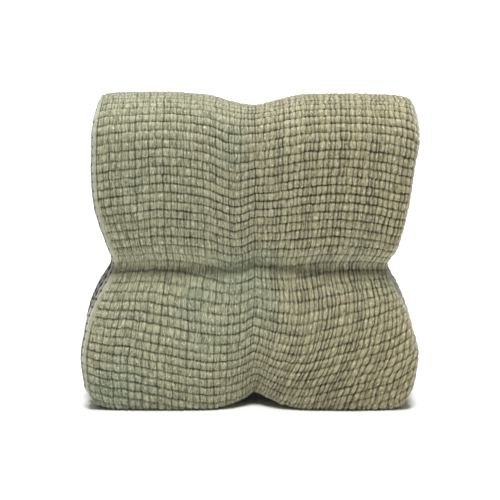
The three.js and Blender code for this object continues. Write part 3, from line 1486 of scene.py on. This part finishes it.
@dataclass(frozen=True)
class CrinkledMuslin:
    """Washed cotton muslin, woven open in layers and shrunk so that it puckers.

    Its fibres scatter light softly: no gloss, a faint haze at grazing angles and pale tops on the
    puffs. Deep olive shade is painted down into the grooves.
    """

    # Real threads are about 0.5 mm apart: they are drawn about three times as coarse, to show
    patterns: tuple[PatternRow, ...] = (
        PatternRow(Mark.THREADS, 1.5, 7.5),
        PatternRow(Mark.PICKS, 7.5, 2.1),
        PatternRow(Mark.FLECKS, 1.65, 3.6),
        PatternRow(Mark.PATCHES, 24, 24),
    )
    blotch_mm: float = 110
    body: str = "#939375"
    colours: tuple[ColourRow, ...] = (
        ColourRow(Mark.TONE, Span(-1, 1), "#B9B998"),  # some puffs are paler
        ColourRow(Mark.BLOTCHES, Span(0.46, 0.30, 0.5), "#8A9B82"),  # the dye takes greener
        ColourRow(Mark.WARMTH, Span(0, 1), "#AF9F78"),  # and warmer toward the folded side
        ColourRow(Mark.THREADS, Span(0.55, 0.34, 0.6), "#2C2C1E"),  # gaps in the open weave
        ColourRow(Mark.FLECKS, Span(0.55, 0.7, 0.8), "#DDDFC6"),  # pale slubs, painted lighter as highlights where they catch the light
        ColourRow(Mark.HEM, Span(0.2, 0.9, 0.65), "#ABAD97"),  # the hems lie flat and pale
        # the second hem is painted greyer, as shade in the gap under the first hem
        ColourRow(Mark.SECOND_HEM, Span(0.2, 0.9, 0.8), "#9C9D96"),
        ColourRow(Mark.DEPTH, Span(0.04, 0.88, 0.93), "#2C2C1E"),  # painted shade down in the grooves, and dark stitch dots on the second hem
    )
    warm_across: Span = Span(-0.06, 0.14, 0.55)  # by the place across the bundle, in metres
    warm_patches: Span = Span(0.38, 0.56, 1.15, 0.75)
    # patches where the painted groove shade is darker or lighter
    groove_shade_patches: Span = Span(0.36, 0.64, 1.2, 0.86)
    deepening: float = 1.35  # above 1, the shade keeps to the middle of a groove
    thread_height_mm: float = 0.6

    def make(self) -> bpy.types.Material:
        """Makes the material.

        Returns:
            The material, with shade painted by groove, colour by blotch and hem, and threads as
            bump.
        """
        material = bpy.data.materials.new("crinkled cotton muslin")
        material.use_nodes = True
        tree = material.node_tree
        tree.nodes.clear()
        marks = self._marks(tree)
        weave = add_node(
            tree,
            "ShaderNodeMath",
            {"operation": "ADD"},
            {0: marks[Mark.THREADS], 1: marks[Mark.PICKS]},
        ).outputs[0]
        bump = add_node(
            tree,
            "ShaderNodeBump",
            {"Strength": 0.7, "Distance": self.thread_height_mm * MM},
            {"Height": weave},
        ).outputs[0]
        shader = add_node(
            tree,
            "ShaderNodeBsdfPrincipled",
            {
                "Roughness": 0.95,
                "Metallic": 0.0,
                "Specular IOR Level": 0.15,
                "Sheen Weight": 0.45,
                "Sheen Roughness": 0.5,
            },
            {"Base Color": self._colour(tree, marks), "Normal": bump},
        )
        add_node(tree, "ShaderNodeOutputMaterial", {}, {"Surface": shader.outputs[0]})
        return material

    def _marks(self, tree: bpy.types.NodeTree) -> dict[Mark, bpy.types.NodeSocket]:
        """Reads what the mesh carries, and lays the patterns.

        Args:
            tree: the node tree.

        Returns:
            The output that gives each mark.
        """
        marks = {}
        for mark in (Mark.GROOVE, Mark.TONE, Mark.HEM, Mark.SECOND_HEM):
            carried = add_node(tree, "ShaderNodeAttribute", {"attribute_name": mark.value}, {})
            marks[mark] = carried.outputs["Fac"]
        flat = add_node(tree, "ShaderNodeUVMap", {"uv_map": "cloth"}, {}).outputs[0]
        for row in self.patterns:
            scale = Vector((1 / MM / row.across_mm, 1 / MM / row.along_mm, 1))
            settings = {"operation": "MULTIPLY", 1: scale}
            place = add_node(tree, "ShaderNodeVectorMath", settings, {0: flat}).outputs[0]
            settings = {"Scale": 1.0, "Detail": 2.0, "Roughness": 0.6}
            noise = add_node(tree, "ShaderNodeTexNoise", settings, {"Vector": place})
            marks[row.mark] = noise.outputs["Fac"]
        spot = add_node(tree, "ShaderNodeTexCoord", {}, {}).outputs["Object"]
        settings = {"Scale": 1 / MM / self.blotch_mm, "Detail": 2.0}
        noise = add_node(tree, "ShaderNodeTexNoise", settings, {"Vector": spot})
        marks[Mark.BLOTCHES] = noise.outputs["Fac"]
        across = add_node(tree, "ShaderNodeSeparateXYZ", {}, {0: spot}).outputs["X"]
        warm_across, warm_patches, groove_shade_patches = (
            add_node(tree, "ShaderNodeMapRange", span.settings(), {"Value": value}).outputs[0]
            for span, value in (
                (self.warm_across, across),
                (self.warm_patches, marks[Mark.BLOTCHES]),
                (self.groove_shade_patches, marks[Mark.PATCHES]),
            )
        )
        multiply = {"operation": "MULTIPLY"}
        links = {0: warm_across, 1: warm_patches}
        marks[Mark.WARMTH] = add_node(tree, "ShaderNodeMath", multiply, links).outputs[0]
        # the painted groove shade, made uneven by patches and kept to the middle of each groove
        links = {0: marks[Mark.GROOVE], 1: groove_shade_patches}
        uneven = add_node(tree, "ShaderNodeMath", multiply, links).outputs[0]
        settings = {"operation": "POWER", 1: self.deepening}
        marks[Mark.DEPTH] = add_node(tree, "ShaderNodeMath", settings, {0: uneven}).outputs[0]
        return marks

    def _colour(
        self, tree: bpy.types.NodeTree, marks: dict[Mark, bpy.types.NodeSocket]
    ) -> bpy.types.NodeSocket:
        """Lays the colours over one another.

        Args:
            tree: the node tree.
            marks: the output that gives each mark.

        Returns:
            The colour's output.
        """
        under = {}
        for row in self.colours:
            value = {"Value": marks[row.mark]}
            share = add_node(tree, "ShaderNodeMapRange", row.span.settings(), value).outputs[0]
            settings = {"data_type": "RGBA", 6: linear(self.body), 7: linear(row.colour)}
            mix = add_node(tree, "ShaderNodeMix", settings, {0: share} | under)
            under = {6: mix.outputs[2]}
        return under[6]


@dataclass(frozen=True)
class StudioFloor:
    """Matt white paper: plain and pale, with no gloss."""

    colour: str = "#F4F4F2"
    reach: float = 12.0  # in metres, each way

    def build(self) -> None:
        """Lays the floor under the bundle."""
        r = self.reach
        mesh = bpy.data.meshes.new("floor")
        mesh.from_pydata([(-r, -r, 0), (r, -r, 0), (r, r, 0), (-r, r, 0)], [], [(0, 1, 2, 3)])
        material = bpy.data.materials.new("matt white paper")
        material.use_nodes = True
        shader = material.node_tree.nodes["Principled BSDF"]
        shader.inputs["Base Color"].default_value = linear(self.colour)
        shader.inputs["Roughness"].default_value = 1.0
        shader.inputs["Specular IOR Level"].default_value = 0.0
        mesh.materials.append(material)
        floor = bpy.data.objects.new("floor", mesh)
        bpy.context.scene.collection.objects.link(floor)


class SunRow(NamedTuple):
    """A soft light from far off, by its tilt toward the front and its turn to the side."""

    name: str
    energy: float
    tilt: float
    turn: float


@dataclass(frozen=True)
class Studio:
    """Soft light from above, and a long lens a little above the bundle.

    The main light comes a little from the front, and a second one from behind, over the crest.
    """

    picture_width: float = 540  # how much of the object's plane the picture takes in, in mm
    lens: float = 200
    sensor: float = 36
    elevation: float = 11
    aim: float = 163  # the height that the camera looks at, in mm
    world: float = 0.2
    suns: tuple[SunRow, ...] = (
        SunRow("soft daylight", 3.0, 16, 3),
        SunRow("light over the crest", 1.9, -14, 0),
    )
    sun_width: float = 22  # how wide each looks, in degrees

    def build(self) -> None:
        """Places the camera and the lights."""
        scene = bpy.context.scene
        aim = Vector((0, 0, self.aim * MM))
        away = self.picture_width * MM * self.lens / self.sensor
        a = math.radians(self.elevation)
        camera = bpy.data.objects.new("camera", bpy.data.cameras.new("camera"))
        camera.data.lens = self.lens
        camera.data.sensor_width = self.sensor
        camera.location = aim + away * Vector((0, -math.cos(a), math.sin(a)))
        camera.rotation_euler = (math.radians(90) - a, 0, 0)
        scene.collection.objects.link(camera)
        scene.camera = camera
        for row in self.suns:
            sun = bpy.data.lights.new(row.name, "SUN")
            sun.energy = row.energy
            sun.angle = math.radians(self.sun_width)
            light = bpy.data.objects.new(row.name, sun)
            light.rotation_euler = (math.radians(row.tilt), 0, math.radians(row.turn))
            scene.collection.objects.link(light)
        world = bpy.data.worlds.new("pale room")
        world.use_nodes = True
        background = world.node_tree.nodes["Background"]
        background.inputs["Color"].default_value = (1, 1, 1, 1)
        background.inputs["Strength"].default_value = self.world
        scene.world = world
        scene.view_settings.view_transform = "Standard"


def main() -> None:
    """Builds the studio and the bedspread."""
    logging.basicConfig(level=logging.INFO, format="%(name)s: %(message)s")
    Studio().build()
    StudioFloor().build()
    bedspread = Bedspread()
    cloth = bedspread.build()
    cloth.data.materials.append(CrinkledMuslin().make())
    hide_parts("bedspread")
    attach(cloth, "root")


if __name__ == "__main__":
    main()
